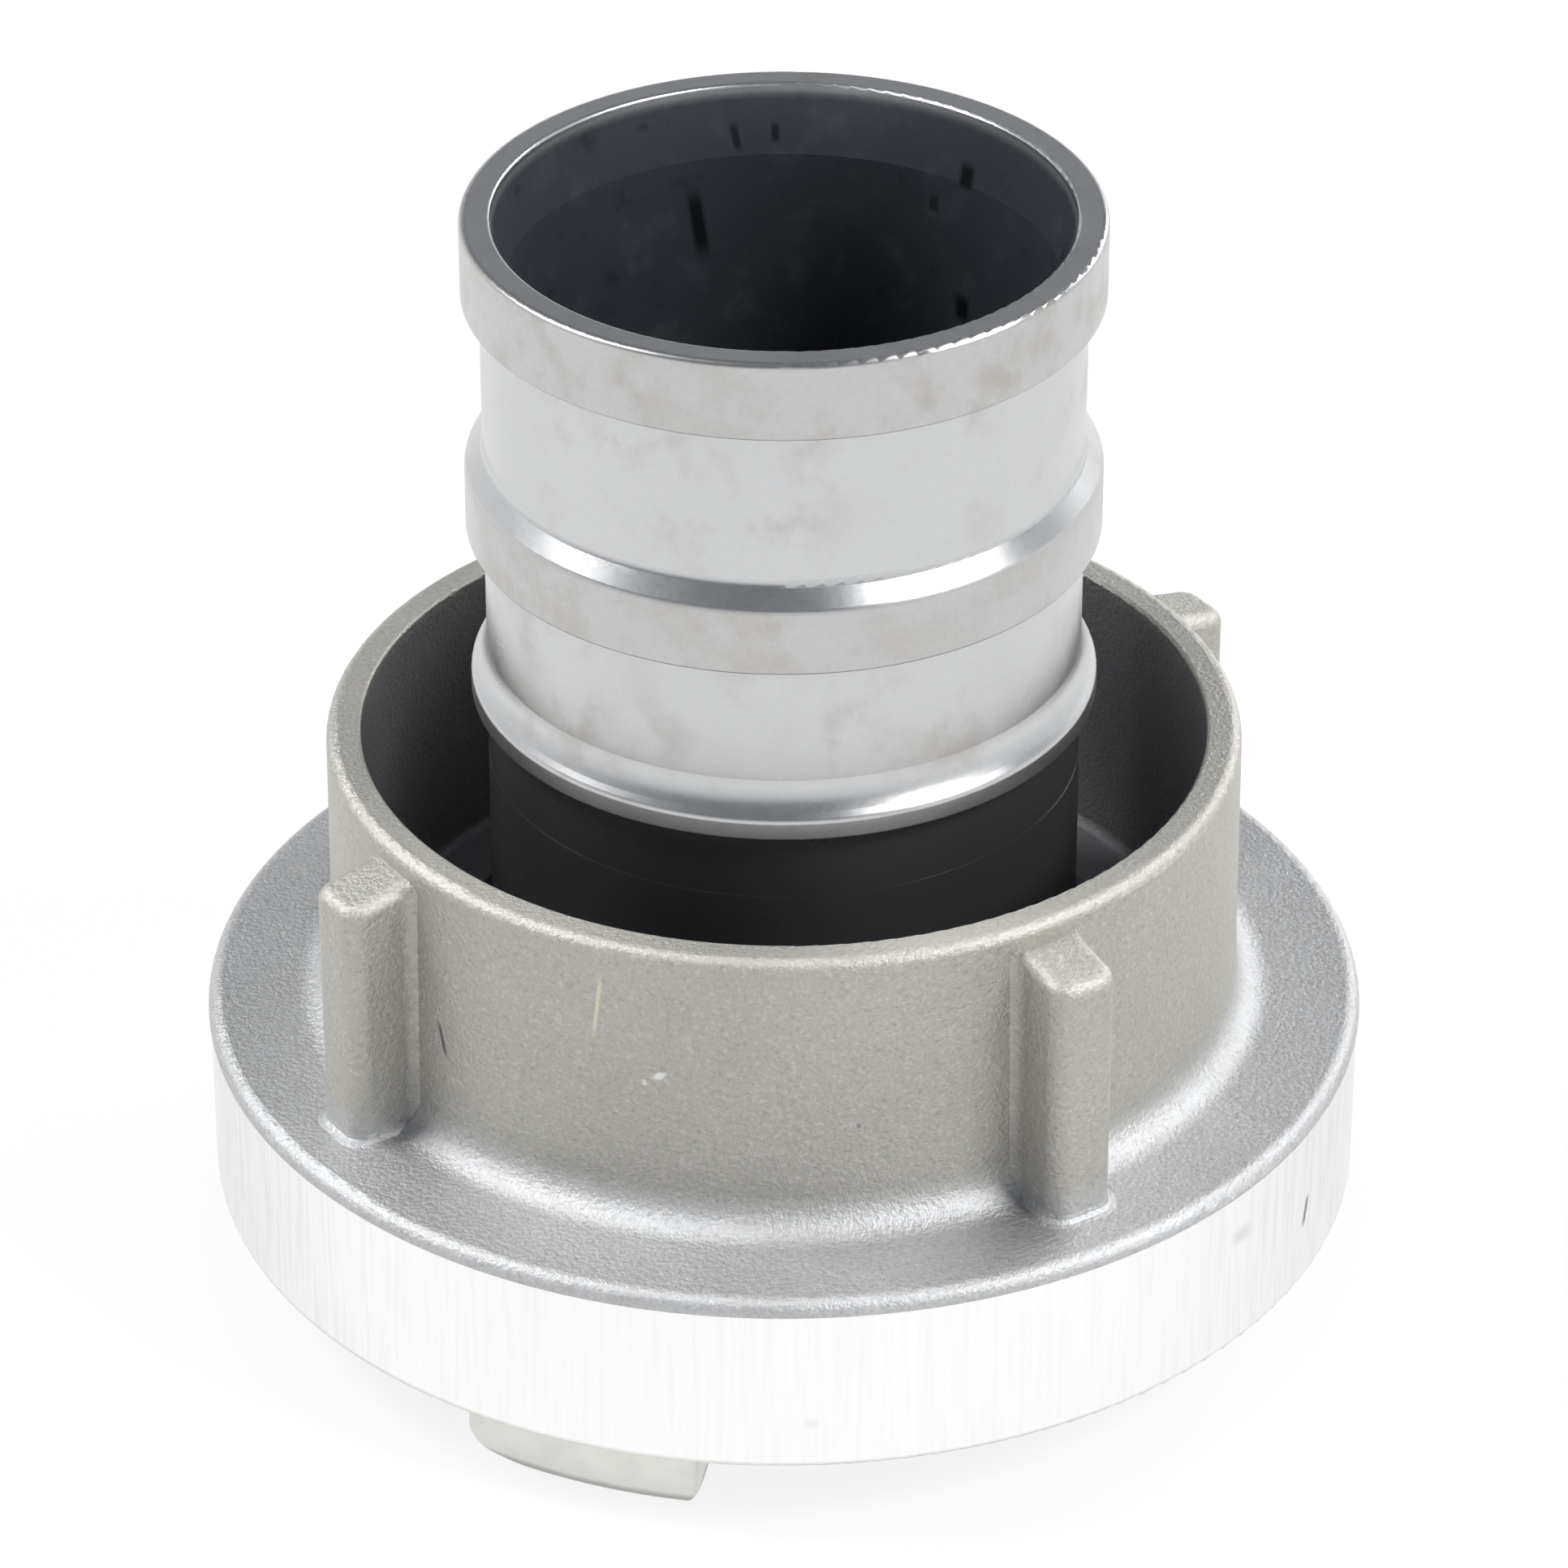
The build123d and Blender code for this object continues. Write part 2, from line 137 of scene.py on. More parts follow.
class Value:
    """A number on a socket, which takes part in Python expressions."""

    def __init__(self, graph: Graph, socket: bpy.types.NodeSocket) -> None:
        """Keeps the socket and the graph that it belongs to.

        Args:
            graph: Graph of the socket.
            socket: Output socket that carries the number.
        """
        self.graph = graph
        self.socket = socket

    def __add__(self, other: Any) -> "Value":
        """Sum."""
        return self.graph.math("ADD", self, other)

    __radd__ = __add__

    def __sub__(self, other: Any) -> "Value":
        """Difference."""
        return self.graph.math("SUBTRACT", self, other)

    def __rsub__(self, other: Any) -> "Value":
        """Difference from a number on the left."""
        return self.graph.math("SUBTRACT", other, self)

    def __mul__(self, other: Any) -> "Value":
        """Product."""
        return self.graph.math("MULTIPLY", self, other)

    __rmul__ = __mul__

    def __truediv__(self, other: Any) -> "Value":
        """Quotient."""
        return self.graph.math("DIVIDE", self, other)

    def __rtruediv__(self, other: Any) -> "Value":
        """Quotient of a number on the left."""
        return self.graph.math("DIVIDE", other, self)

    def __abs__(self) -> "Value":
        """Size without its sign."""
        return self.graph.math("ABSOLUTE", self)

    def clamped(self) -> "Value":
        """Kept between 0 and 1."""
        return self.graph.math("ADD", self, clamp=True)

    def most(self, other: Any) -> "Value":
        """The larger of two values."""
        return self.graph.math("MAXIMUM", self, other)

    def ramp(self, edge: Edge) -> "Value":
        """Rises smoothly from 0 to 1 between two values.

        Args:
            edge: Value that gives 0 and value that gives 1, either the larger.

        Returns:
            The smooth step.
        """
        low, high = sorted(edge)
        rises = edge[0] < edge[1]
        node = self.graph.node(
            "ShaderNodeMapRange", {"interpolation_type": "SMOOTHSTEP", "clamp": True},
            {"Value": self, "From Min": low, "From Max": high,
             "To Min": 0.0 if rises else 1.0, "To Max": 1.0 if rises else 0.0})
        return Value(self.graph, node.outputs["Result"])

    def band(self, low: float, high: float, soft: float) -> "Value":
        """Mask of the values between two limits.

        Args:
            low: Start of the band.
            high: End of the band.
            soft: Width of each edge, centred on its limit.

        Returns:
            1 inside the band and 0 outside it.
        """
        rise = self.ramp((low - soft / 2, low + soft / 2))
        return rise * self.ramp((high + soft / 2, high - soft / 2))


@dataclass(frozen=True)
class Pattern:
    """Soft noise with spots of one size."""

    size: float
    detail: float = 3.0
    roughness: float = 0.55
    place: Point = (0.0, 0.0, 0.0)


class Shader(Graph):
    """Builds one material, with the place on the piece as z, radius and angle."""

    def __init__(self, name: str) -> None:
        """Starts an empty material.

        Args:
            name: Name of the material.
        """
        self.material = bpy.data.materials.new(name)
        self.material.use_nodes = True
        super().__init__(self.material.node_tree)
        self.coordinates = self.node("ShaderNodeTexCoord").outputs["Object"]
        split = self.node("ShaderNodeSeparateXYZ", inputs={0: self.coordinates})
        x, y, self.z = (Value(self, socket) for socket in split.outputs)
        self.radius = self.math("SQRT", x * x + y * y)
        self.angle = self.math("ARCTAN2", x, 0.0 - y)

    def noise(self, pattern: Pattern) -> Value:
        """Smooth noise around 0.5.

        Args:
            pattern: Size and detail of the noise.

        Returns:
            The noise.
        """
        mapping = self.node("ShaderNodeMapping",
                            inputs={"Vector": self.coordinates, "Location": pattern.place})
        node = self.node("ShaderNodeTexNoise", inputs={
            "Vector": mapping.outputs[0], "Scale": 1.0 / pattern.size,
            "Detail": pattern.detail, "Roughness": pattern.roughness})
        return Value(self, node.outputs["Fac"])

    def round_noise(self, along: float, height: float, detail: float) -> Value:
        """Noise whose spots have one size round the axis and another along it.

        Args:
            along: Size of its spots round the axis, in radians.
            height: Size of its spots along the axis.
            detail: Number of finer layers.

        Returns:
            The noise.
        """
        vector = self.node("ShaderNodeCombineXYZ",
                           inputs={0: self.angle / along, 1: self.z / height})
        node = self.node("ShaderNodeTexNoise", inputs={
            "Vector": vector.outputs[0], "Scale": 1.0, "Detail": detail})
        return Value(self, node.outputs["Fac"])

    def bump(self, height: Value, depth: float) -> bpy.types.NodeSocket:
        """Turns a height into a surface direction.

        Args:
            height: Height of the surface, 1 for the full depth.
            depth: Full depth of the relief.

        Returns:
            The socket of the direction.
        """
        node = self.node("ShaderNodeBump", inputs={
            "Height": height, "Strength": 1.0, "Distance": depth})
        return node.outputs[0]

    def surface(self, colour: Any, roughness: Any, metallic: Any,
                normal: bpy.types.NodeSocket) -> bpy.types.Material:
        """Finishes the material.

        Args:
            colour: Socket of the base colour.
            roughness: Roughness.
            metallic: Share of bare metal.
            normal: Direction of the surface.

        Returns:
            The material.
        """
        principled = self.node("ShaderNodeBsdfPrincipled", inputs={
            "Base Color": colour, "Roughness": roughness, "Metallic": metallic,
            "Normal": normal})
        self.node("ShaderNodeOutputMaterial", inputs={"Surface": principled.outputs[0]})
        return self.material


# ---- Finishes ------------------------------------------------------------------------

@dataclass(frozen=True)
class Tone:
    """A colour laid over another where a value passes an edge."""

    edge: Edge
    strength: float
    colour: Colour

    def over(self, shader: Shader, value: Value, under: Any) -> bpy.types.NodeSocket:
        """Lays the tone over a colour.

        Args:
            shader: The material's builder.
            value: Value that the edge is on.
            under: Colour under the tone.

        Returns:
            The socket of the toned colour.
        """
        return shader.mix(value.ramp(self.edge) * self.strength, under, self.colour)


@dataclass(frozen=True)
class Mark:
    """A scratch, nick, pit, speck or painted shadow spot on an upright wall round the axis.

    Turn and width are angles in degrees. Lean is the sideways shift from its foot to
    its head, in degrees too, and soft the share of its size over which it fades.
    """

    turn: float
    height: float
    width: float
    length: float
    colour: Colour
    strength: float
    lean: float
    soft: float

    def over(self, shader: Shader, under: Any, wall: Any = 1.0) -> bpy.types.NodeSocket:
        """Lays the mark over a colour.

        Args:
            shader: The material's builder.
            under: Colour under the mark.
            wall: Mask of the wall that carries it.

        Returns:
            The socket of the marked colour.
        """
        edge = (1.0 + self.soft, 1.0 - self.soft)
        up = (shader.z - self.height) / self.length
        across = shader.angle * math.degrees(1.0) - self.turn
        across = abs(across - up * self.lean) / (self.width / 2)
        mask = across.ramp(edge) * (abs(up) * 2.0).ramp(edge)
        return shader.mix(mask * wall * self.strength, under, self.colour)


@dataclass(frozen=True)
class BlastedCasting:
    """Shot-blasted cast aluminium with a fine grain, with painted light that makes the level
    faces lighter and cooler.
    """

    upright: Colour = (0.50, 0.487, 0.45)
    # Painted light: the level faces are coloured lighter and cooler than the upright ones, as
    # faces that look up catch the sky.
    level: Colour = (0.55, 0.555, 0.565)
    patch: Pattern = Pattern(0.011)
    patches: Tone = Tone((0.35, 0.7), 0.18, (0.40, 0.39, 0.365))
    grain: Pattern = Pattern(0.00042, detail=4.0, roughness=0.65)
    glints: Tone = Tone((0.52, 0.68), 0.40, (0.72, 0.71, 0.68))
    hollows: Tone = Tone((0.47, 0.30), 0.45, (0.30, 0.295, 0.28))
    relief_depth: float = 0.00016
    roughness: float = 0.48
    grain_roughness: float = 0.12

    def colour(self, shader: Shader, grain: Value, level: Value) -> bpy.types.NodeSocket:
        """Colours the cast skin.

        Args:
            shader: The material's builder.
            grain: Noise of the grain.
            level: Mask of the level faces, which get the painted light.

        Returns:
            The socket of the colour.
        """
        colour = shader.mix(level, self.upright, self.level)
        colour = self.patches.over(shader, shader.noise(self.patch), colour)
        colour = self.glints.over(shader, grain, colour)
        return self.hollows.over(shader, grain, colour)


@dataclass(frozen=True)
class TurnedBand:
    """Bright turned band with faint upright streaks, with painted shade that makes it duller and
    more streaked away from the front.
    """

    bright: Colour = (0.97, 0.97, 0.965)
    # Painted shade: the band darkens with its turn away from the front (-Y), so it is brightest
    # where it faces the camera. The streaks are real turning marks, and they are also made
    # stronger towards the sides as painted shade.
    side_shade: Tone = Tone((0.55, 1.35), 0.45, (0.70, 0.705, 0.715))
    streak_width: float = 0.010
    streak_height: float = 0.012
    streak_detail: float = 2.0
    streak_edge: Edge = (0.4, 0.75)
    streak_colour: Colour = (0.62, 0.625, 0.64)
    streak_front: float = 0.10
    streak_side: float = 0.35
    roughness: float = 0.34
    streak_roughness: float = 0.08

    def streaks(self, shader: Shader) -> Value:
        """Noise of the streaks."""
        return shader.round_noise(self.streak_width, self.streak_height, self.streak_detail)

    def colour(self, shader: Shader, streaks: Value) -> bpy.types.NodeSocket:
        """Colours the band.

        Args:
            shader: The material's builder.
            streaks: Noise of the streaks.

        Returns:
            The socket of the colour.
        """
        turn = abs(shader.angle)
        # Painted shade by the turn away from the front.
        colour = self.side_shade.over(shader, turn, self.bright)
        strength = self.streak_front + turn.ramp(self.side_shade.edge) * self.streak_side
        return shader.mix(streaks.ramp(self.streak_edge) * strength, colour,
                          self.streak_colour)


@dataclass(frozen=True)
class MachinedFace:
    """Machined underside and lugs, with painted shade darkening the lug tips where they stand on
    the floor.
    """

    plain: Colour = (0.76, 0.755, 0.72)
    cloud: Pattern = Pattern(0.0035, detail=4.0)
    clouds: Tone = Tone((0.35, 0.7), 0.25, (0.52, 0.515, 0.49))
    # Painted shade: darker over the lowest part of the lugs, where they meet the floor.
    tip_shade: Tone = Tone((0.0010, 0.0004), 0.55, (0.20, 0.20, 0.19))

    def colour(self, shader: Shader) -> bpy.types.NodeSocket:
        """Colours the machined faces.

        Args:
            shader: The material's builder.

        Returns:
            The socket of the colour.
        """
        colour = self.clouds.over(shader, shader.noise(self.cloud), self.plain)
        return self.tip_shade.over(shader, shader.z, colour)


@dataclass(frozen=True)
class TumbledAluminium:
    """Tumbled turned aluminium with faint warm stains, greyer on the beads."""

    silver: Colour = (0.60, 0.605, 0.61)
    bead: Colour = (0.46, 0.46, 0.455)
    bead_strength: float = 0.45
    stain: Colour = (0.47, 0.45, 0.425)
    spots: Pattern = Pattern(0.006, detail=4.0, roughness=0.6)
    fields: Pattern = Pattern(0.019, detail=2.0, place=(0.3, 0.1, 0.0))
    spot_edge: Edge = (0.48, 0.68)
    field_edge: Edge = (0.40, 0.60)
    stain_strength: float = 0.6
    bead_spot_edge: Edge = (0.42, 0.6)
    bead_spot_strength: float = 0.45
    grain: Pattern = Pattern(0.0005)
    glints: Tone = Tone((0.4, 0.7), 0.10, (0.75, 0.75, 0.75))
    # Painted shadow round the foot of each bead, under its edge.
    line: Colour = (0.15, 0.15, 0.15)
    foot_shadow_strength: float = 0.6
    relief_depth: float = 0.00002
    roughness: float = 0.20
    stain_roughness: float = 0.14
    grain_roughness: float = 0.05

    def colour(self, shader: Shader, spots: Value, grain: Value,
               beads: Value) -> bpy.types.NodeSocket:
        """Colours the outside of the tail.

        Args:
            shader: The material's builder.
            spots: Noise of the stains.
            grain: Noise of the grain.
            beads: Mask of the beads.

        Returns:
            The socket of the colour.
        """
        stained = spots.ramp(self.spot_edge) * shader.noise(self.fields).ramp(self.field_edge)
        beaded = beads * spots.ramp(self.bead_spot_edge) * self.bead_spot_strength
        colour = shader.mix(beads * self.bead_strength, self.silver, self.bead)
        colour = shader.mix((stained * self.stain_strength + beaded).clamped(), colour,
                            self.stain)
        return self.glints.over(shader, grain, colour)


@dataclass(frozen=True)
class ShadedBore:
    """Painted shade inside the waterway: dark far down and lighter near the mouth, with faint
    blotches.
    """

    # Painted shade: the bore is coloured dark and grows lighter towards the mouth, where light
    # reaches in.
    deep_shade: Colour = (0.055, 0.060, 0.074)
    mouth: Tone = Tone((0.0759, 0.0929), 0.7, (0.075, 0.085, 0.10))
    blotch: Pattern = Pattern(0.004, detail=4.0, roughness=0.6, place=(0.7, 0.2, 0.4))
    pale: Tone = Tone((0.52, 0.72), 0.5, (0.105, 0.115, 0.13))
    dark: Tone = Tone((0.42, 0.25), 0.6, (0.02, 0.022, 0.028))

    def colour(self, shader: Shader) -> bpy.types.NodeSocket:
        """Colours the bore.

        Args:
            shader: The material's builder.

        Returns:
            The socket of the colour.
        """
        blotches = shader.noise(self.blotch)
        colour = self.mouth.over(shader, shader.z, self.deep_shade)
        colour = self.pale.over(shader, blotches, colour)
        return self.dark.over(shader, blotches, colour)


@dataclass(frozen=True)
class PlainFinish:
    """One colour with soft patches of a second one."""

    name: str
    colour: Colour
    patch: Pattern
    patches: Tone
    grain: Pattern
    relief_depth: float
    roughness: float
    metallic: float
    patch_roughness: float = 0.0
    grain_roughness: float = 0.0

    def material(self) -> bpy.types.Material:
        """Builds the material.

        Returns:
            The material.
        """
        shader = Shader(self.name)
        patches = shader.noise(self.patch)
        grain = shader.noise(self.grain)
        colour = self.patches.over(shader, patches, self.colour)
        roughness = self.roughness + patches * self.patch_roughness + grain * self.grain_roughness
        normal = shader.bump(grain, self.relief_depth)
        return shader.surface(colour, roughness, self.metallic, normal)


# Painted shade: the snap ring sits low in the gap between tail and skirt, so its steel is
# coloured dark as steel in shadow.
SHADED_SPRING_STEEL = PlainFinish(
    name="zinc_plated_spring_steel_painted_shade", colour=(0.12, 0.125, 0.135), patch=Pattern(0.004),
    patches=Tone((0.35, 0.7), 0.4, (0.17, 0.17, 0.165)), grain=Pattern(0.0004),
    relief_depth=0.00001, roughness=0.38, metallic=1.0, patch_roughness=0.15)
SEAL_RUBBER = PlainFinish(
    name="seal_rubber_black", colour=(0.022, 0.022, 0.023), patch=Pattern(0.005, detail=4.0),
    patches=Tone((0.45, 0.75), 0.5, (0.055, 0.055, 0.055)), grain=Pattern(0.0004),
    relief_depth=0.00002, roughness=0.62, metallic=0.0, grain_roughness=0.15)


# ---- Sub-assemblies ------------------------------------------------------------------

def dress(piece: Piece, material: bpy.types.Material) -> None:
    """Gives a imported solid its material.

    Args:
        piece: The solid.
        material: Its material.
    """
    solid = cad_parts[piece.value]
    if not solid.material_slots:
        solid.data.materials.append(material)
    for slot in solid.material_slots:
        slot.material = material
    LOG.info("%s dressed with %s", piece.value, material.name)


@dataclass
class LugRing:
    """Cast ring with its flange, skirt, spanner ribs and lugs.

    The edges are the places where one finish, painted light or painted shade gives way to the
    next.
    """

    band_radius: Edge = (0.0484, 0.0487)
    band_height: Edge = (0.02202, 0.02198)
    face_height: Edge = (0.00775, 0.00735)
    level_height: Edge = (0.0274, 0.0239)
    skirt_outside: Edge = (0.0376, 0.0380)
    # Painted shade: the skirt's inner wall and the floor of the hose gap are coloured dark and
    # made less metallic, for the shade far down in the gap.
    inside_radius: Edge = (0.0357, 0.0353)
    inside_floor: Edge = (0.0228, 0.0234)
    inside_rim: Edge = (0.0484, 0.0475)
    inside_shade_colour: Colour = (0.27, 0.27, 0.28)
    inside_shade_dulling: float = 0.6
    casting: BlastedCasting = field(default_factory=BlastedCasting)
    band: TurnedBand = field(default_factory=TurnedBand)
    face: MachinedFace = field(default_factory=MachinedFace)
    skirt_marks: tuple[Mark, ...] = (
        Mark(-23.0, 0.0427, 0.5, 0.0052, (0.74, 0.71, 0.55), 0.75, 0.9, 0.3),
        Mark(-46.6, 0.0337, 0.6, 0.0026, (0.10, 0.10, 0.10), 0.75, -1.1, 0.3),
        Mark(-15.1, 0.0372, 1.1, 0.0007, (0.88, 0.87, 0.85), 0.85, 0.8, 0.5),
        Mark(-17.0, 0.0364, 0.5, 0.0005, (0.85, 0.84, 0.82), 0.7, 0.0, 0.5),
        Mark(9.0, 0.0330, 0.5, 0.0004, (0.16, 0.16, 0.15), 0.6, 0.0, 0.5),
    )
    band_marks: tuple[Mark, ...] = (
        Mark(62.8, 0.0140, 0.7, 0.0024, (0.13, 0.13, 0.14), 0.8, 0.8, 0.35),
        Mark(50.3, 0.0178, 2.4, 0.0012, (0.60, 0.60, 0.62), 0.5, 0.0, 0.8),
        Mark(2.6, 0.0115, 1.0, 0.0008, (0.70, 0.70, 0.71), 0.4, 0.0, 0.8),
    )
    # Painted shadow: a dark spot on the lug just under the flange rim, for shade in a gap that
    # the solid does not have.
    lug_shadow_marks: tuple[Mark, ...] = (
        Mark(-33.8, 0.0062, 4.4, 0.0012, (0.05, 0.05, 0.05), 0.9, 0.0, 0.4),
    )

    def _shaded_inside(self, shader: Shader) -> Value:
        """Mask of the painted shade on the skirt's inner wall and the floor of the hose gap."""
        walls = shader.radius.ramp(self.inside_radius) * shader.z.ramp(self.inside_floor)
        return walls * shader.z.ramp(self.inside_rim)

    def material(self) -> bpy.types.Material:
        """Builds the ring's material from its finishes.

        Returns:
            The material of the lug ring.
        """
        shader = Shader("cast_aluminium_ring")
        band = shader.radius.ramp(self.band_radius) * shader.z.ramp(self.band_height)
        face = shader.z.ramp(self.face_height)
        inside = self._shaded_inside(shader)
        cast = (1.0 - band) * (1.0 - face)
        grain = shader.noise(self.casting.grain)
        streaks = self.band.streaks(shader)

        # The flange below the level edge gets the painted light of the level faces.
        colour = self.casting.colour(shader, grain, shader.z.ramp(self.level_height))
        outside = shader.radius.ramp(self.skirt_outside)
        for mark in self.skirt_marks:
            colour = mark.over(shader, colour, outside)
        band_colour = self.band.colour(shader, streaks)
        for mark in self.band_marks:
            band_colour = mark.over(shader, band_colour)
        face_colour = self.face.colour(shader)
        # Painted shadow on the lug.
        for mark in self.lug_shadow_marks:
            face_colour = mark.over(shader, face_colour)
        colour = shader.mix(band, colour, band_colour)
        colour = shader.mix(face, colour, face_colour)
        # Painted shade on the skirt's inner wall and the gap floor.
        colour = shader.mix(inside, colour, self.inside_shade_colour)

        cast_roughness = self.casting.roughness + grain * self.casting.grain_roughness
        turned_roughness = self.band.roughness + streaks * self.band.streak_roughness
        roughness = cast_roughness * cast + turned_roughness * (1.0 - cast)
        normal = shader.bump(grain * cast, self.casting.relief_depth)
        return shader.surface(colour, roughness, 1.0 - inside * self.inside_shade_dulling, normal)

    def build(self) -> None:
        """Dresses the ring."""
        dress(Piece.LUG_RING, self.material())


@dataclass
class HoseTail:
    """Turned tail with its beads and bore, and the snap ring that keeps it.

    The edges are the places where one finish or painted shade gives way to the next. A painted
    shadow runs round the foot of each bead.
    """

    bore_radius: Edge = (0.0238, 0.0234)
    bore_height: Edge = (0.0957, 0.0950)
    lower_height: Edge = (0.0528, 0.0524)
    # Painted shade: the barrel below the hose stop, low in the skirt's gap, is coloured near
    # black and made less metallic.
    lower_shade_colour: Colour = (0.060, 0.060, 0.063)
    middle_bead: Span = (0.0681, 0.0737)
    mouth_bead: Edge = (0.0891, 0.0893)
    bead_radius: Edge = (0.0255, 0.0258)
    bead_soft: float = 0.0002
    foot_shadow_heights: tuple[float, ...] = (0.0681, 0.0892)
    foot_shadow_below: float = 0.00025
    foot_shadow_above: float = 0.0001
    shade_dulling: float = 0.5
    metal: TumbledAluminium = field(default_factory=TumbledAluminium)
    bore: ShadedBore = field(default_factory=ShadedBore)
    spring: PlainFinish = SHADED_SPRING_STEEL
    pits: tuple[Mark, ...] = (
        Mark(-161.4, 0.0840, 3.0, 0.0055, (0.004, 0.004, 0.006), 0.85, 2.0, 0.5),
        Mark(138.0, 0.0906, 3.4, 0.0020, (0.004, 0.004, 0.006), 0.85, 0.0, 0.5),
        Mark(138.6, 0.0783, 3.4, 0.0022, (0.004, 0.004, 0.006), 0.85, 0.0, 0.5),
        Mark(-169.8, 0.0915, 1.6, 0.0022, (0.006, 0.006, 0.008), 0.7, 1.0, 0.5),
        Mark(-178.2, 0.0917, 1.6, 0.0016, (0.006, 0.006, 0.008), 0.7, 0.0, 0.5),
        Mark(146.4, 0.0872, 2.0, 0.0014, (0.006, 0.006, 0.008), 0.6, 0.0, 0.5),
    )

    def _beads(self, shader: Shader) -> Value:
        """Mask of the outer faces of the two beads."""
        middle = shader.z.band(*self.middle_bead, self.bead_soft)
        return middle.most(shader.z.ramp(self.mouth_bead)) * shader.radius.ramp(self.bead_radius)

    def material(self) -> bpy.types.Material:
        """Builds the tail's material from its finishes.

        Returns:
            The material of the hose tail.
        """
        shader = Shader("turned_aluminium_tail")
        inside = shader.radius.ramp(self.bore_radius) * shader.z.ramp(self.bore_height)
        lower = shader.z.ramp(self.lower_height)
        spots = shader.noise(self.metal.spots)
        grain = shader.noise(self.metal.grain)

        colour = self.metal.colour(shader, spots, grain, self._beads(shader))
        # Painted shadow under each bead.
        for height in self.foot_shadow_heights:
            line = shader.z.band(height - self.foot_shadow_below, height + self.foot_shadow_above,
                                 self.bead_soft)
            colour = shader.mix(line * self.metal.foot_shadow_strength, colour, self.metal.line)
        bore_colour = self.bore.colour(shader)
        for pit in self.pits:
            bore_colour = pit.over(shader, bore_colour)
        # Painted shade in the bore.
        colour = shader.mix(inside, colour, bore_colour)
        # Painted shade on the lower barrel.
        colour = shader.mix(lower, colour, self.lower_shade_colour)

        roughness = (self.metal.roughness + spots * self.metal.stain_roughness
                     + grain * self.metal.grain_roughness)
        # The painted shade in the bore and on the lower barrel is less metallic.
        metallic = 1.0 - inside.most(lower) * self.shade_dulling
        normal = shader.bump(spots, self.metal.relief_depth)
        return shader.surface(colour, roughness, metallic, normal)

    def build(self) -> None:
        """Dresses the tail and its snap ring."""
        dress(Piece.HOSE_TAIL, self.material())
        dress(Piece.SNAP_RING, self.spring.material())


@dataclass
class FaceSeal:
    """Rubber ring in the coupling face."""

    rubber: PlainFinish = SEAL_RUBBER

    def build(self) -> None:
        """Dresses the seal."""
        dress(Piece.FACE_SEAL, self.rubber.material())


# ---- Studio --------------------------------------------------------------------------

@dataclass(frozen=True)
class Lamp:
    """A square soft lamp that looks at a point."""

    name: str
    place: Point
    target: Point
    size: float
    power: float

    def build(self) -> None:
        """Places the lamp."""
        light = bpy.data.lights.new(self.name, "AREA")
        light.size = self.size
        light.energy = self.power
        lamp = bpy.data.objects.new(self.name, light)
        lamp.location = self.place
        direction = Vector(self.target) - Vector(self.place)
        lamp.rotation_euler = direction.to_track_quat("-Z", "Y").to_euler()
        bpy.context.scene.collection.objects.link(lamp)
        LOG.info("lamp %s placed", self.name)


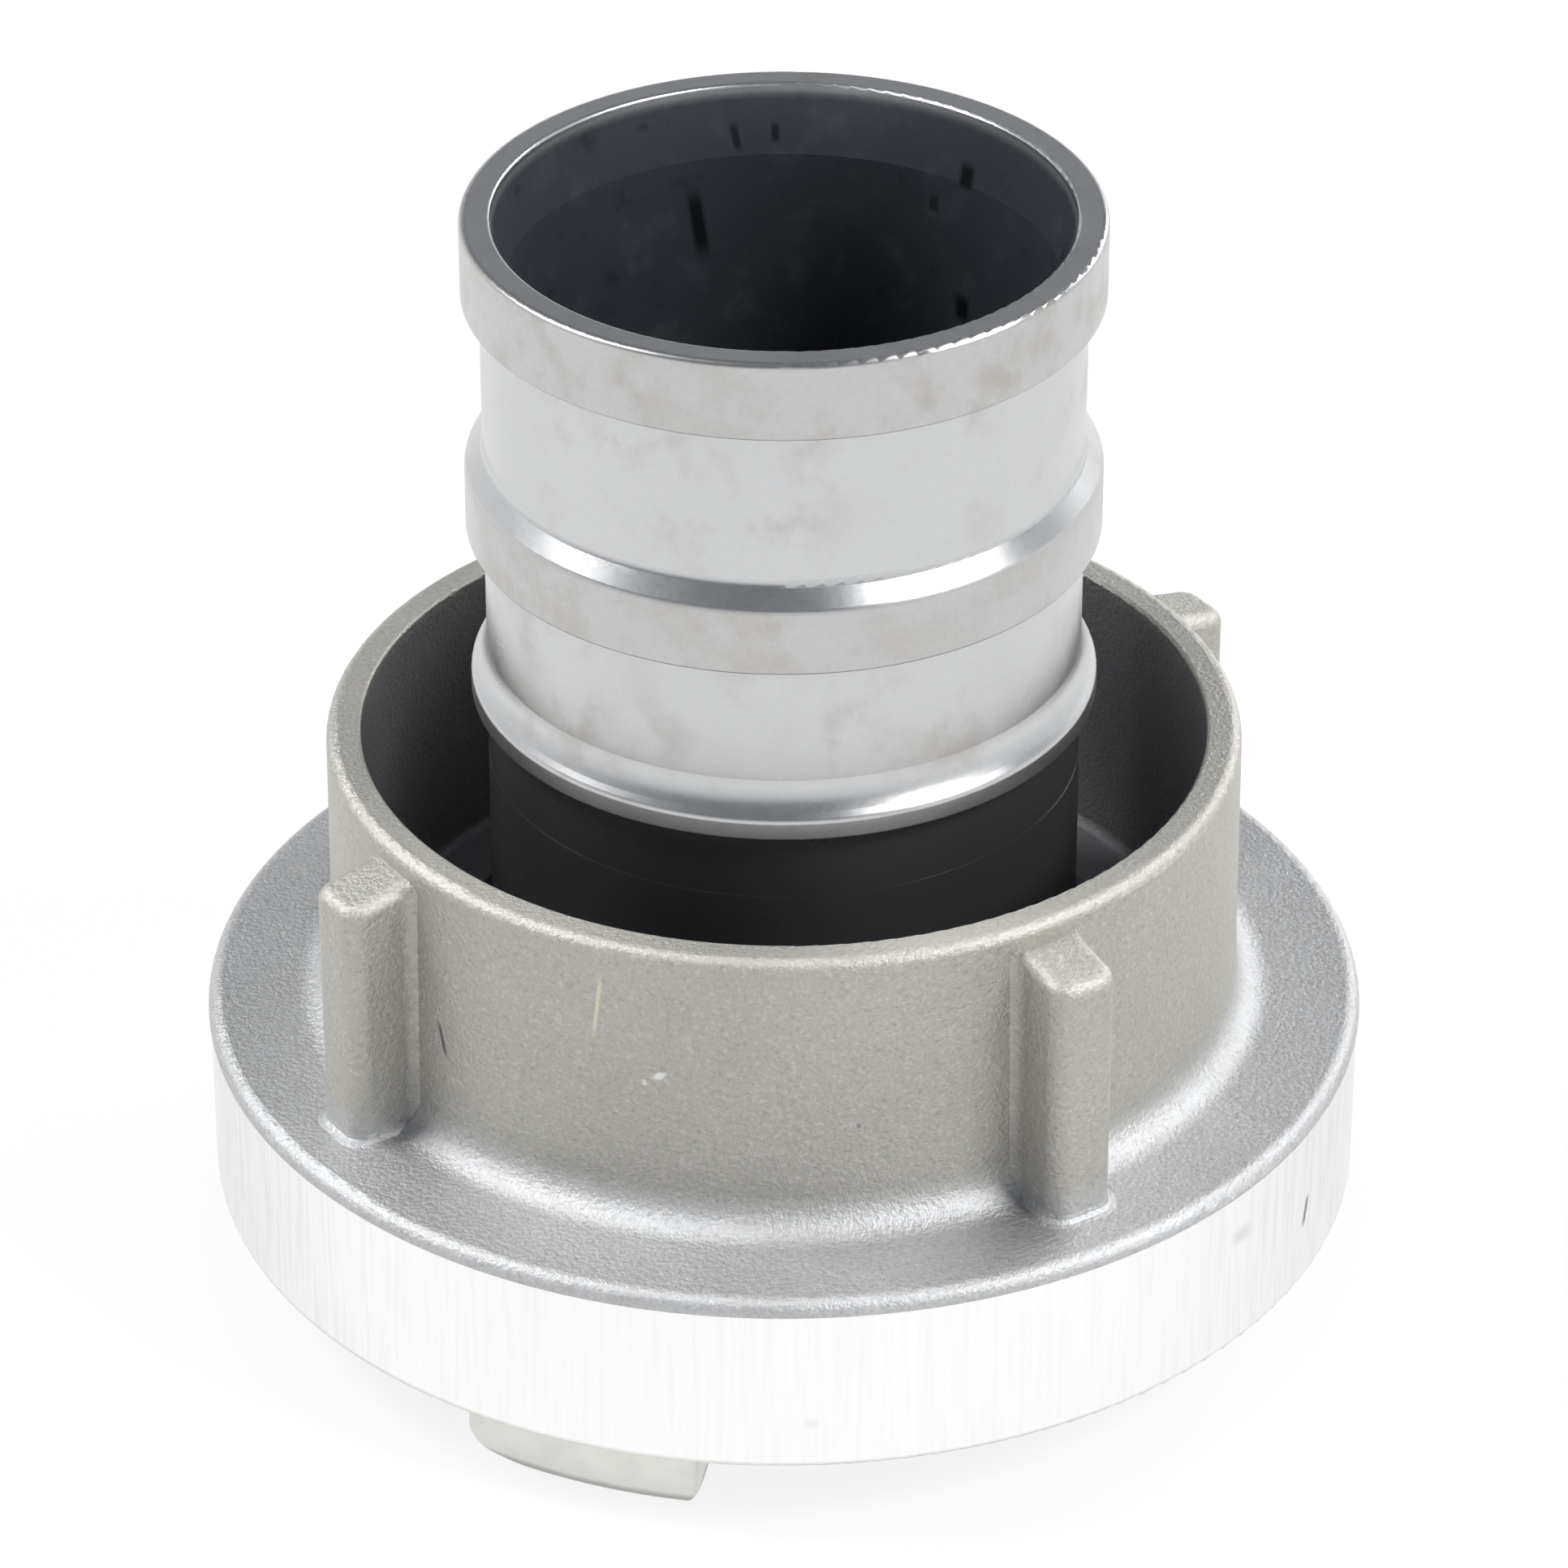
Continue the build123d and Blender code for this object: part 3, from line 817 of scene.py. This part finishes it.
@dataclass
class Studio:
    """Floor, lamps, surroundings and camera."""

    floor_half: float = 3.0
    floor_colour: Colour = (0.86, 0.86, 0.86)
    floor_glow: float = 0.86
    horizon: Colour = (0.86, 0.87, 0.88)
    ceiling: Colour = (0.17, 0.18, 0.20)
    ceiling_edge: Edge = (0.12, 0.50)
    camera_place: Point = (0.0, -0.52158, 0.36018)
    camera_tilt: float = 58.62
    focal_length: float = 166.59
    sensor_width: float = 36.0
    clip_start: float = 0.01
    lamps: tuple[Lamp, ...] = (
        Lamp("key", (0.55, -0.30, 0.62), (0.0, 0.0, 0.04), 0.30, 6.5),
        Lamp("fill", (-0.50, 0.05, 0.60), (0.0, 0.0, 0.05), 0.30, 5.0),
        Lamp("back", (0.55, 0.60, 0.42), (0.02, 0.0, 0.03), 0.35, 3.0),
    )

    def _floor(self) -> None:
        """Lays the pale floor, which shows white and keeps the shadow."""
        half = self.floor_half
        mesh = bpy.data.meshes.new("studio_floor")
        corners = [(-half, -half, 0), (half, -half, 0), (half, half, 0), (-half, half, 0)]
        mesh.from_pydata(corners, [], [(0, 1, 2, 3)])
        floor = bpy.data.objects.new("studio_floor", mesh)
        bpy.context.scene.collection.objects.link(floor)
        shader = Shader("studio_floor_white")
        rays = shader.node("ShaderNodeLightPath")
        seen = Value(shader, rays.outputs["Is Camera Ray"])
        seen = seen.most(Value(shader, rays.outputs["Is Glossy Ray"]))
        matt = shader.node("ShaderNodeBsdfDiffuse",
                           inputs={"Color": with_alpha(self.floor_colour)})
        glow = shader.node("ShaderNodeEmission",
                           inputs={"Color": with_alpha(FULL_WHITE), "Strength": 1.0})
        mixed = shader.node("ShaderNodeMixShader", inputs={
            0: seen * self.floor_glow, 1: matt.outputs[0], 2: glow.outputs[0]})
        shader.node("ShaderNodeOutputMaterial", inputs={"Surface": mixed.outputs[0]})
        mesh.materials.append(shader.material)
        LOG.info("studio floor laid")

    def _surroundings(self) -> None:
        """Sets a bright horizon and a dark ceiling, white where the camera sees them."""
        world = bpy.data.worlds.new("studio")
        bpy.context.scene.world = world
        world.use_nodes = True
        graph = Graph(world.node_tree)
        direction = graph.node("ShaderNodeTexCoord").outputs["Generated"]
        split = graph.node("ShaderNodeSeparateXYZ", inputs={0: direction})
        rise = Value(graph, split.outputs["Z"]).ramp(self.ceiling_edge)
        rays = graph.node("ShaderNodeLightPath")
        sky = graph.mix(rise, self.horizon, self.ceiling)
        seen = graph.mix(rays.outputs["Is Camera Ray"], sky, FULL_WHITE)
        background = graph.node("ShaderNodeBackground", inputs={"Color": seen})
        graph.node("ShaderNodeOutputWorld", inputs={0: background.outputs[0]})

    def _camera(self) -> None:
        """Places the camera."""
        lens = bpy.data.cameras.new("camera")
        lens.lens = self.focal_length
        lens.sensor_width = self.sensor_width
        lens.clip_start = self.clip_start
        camera = bpy.data.objects.new("camera", lens)
        camera.location = self.camera_place
        camera.rotation_euler = (math.radians(self.camera_tilt), 0.0, 0.0)
        bpy.context.scene.collection.objects.link(camera)
        bpy.context.scene.camera = camera

    def build(self) -> None:
        """Builds the whole studio."""
        self._floor()
        for lamp in self.lamps:
            lamp.build()
        self._surroundings()
        self._camera()
        bpy.context.scene.view_settings.view_transform = "Standard"
        LOG.info("studio built")


def main() -> None:
    """Builds the coupling's looks."""
    logging.basicConfig(level=logging.INFO, format="%(name)s: %(message)s")
    for part in (LugRing(), HoseTail(), FaceSeal(), Studio()):
        part.build()


if __name__ == "__main__":
    main()
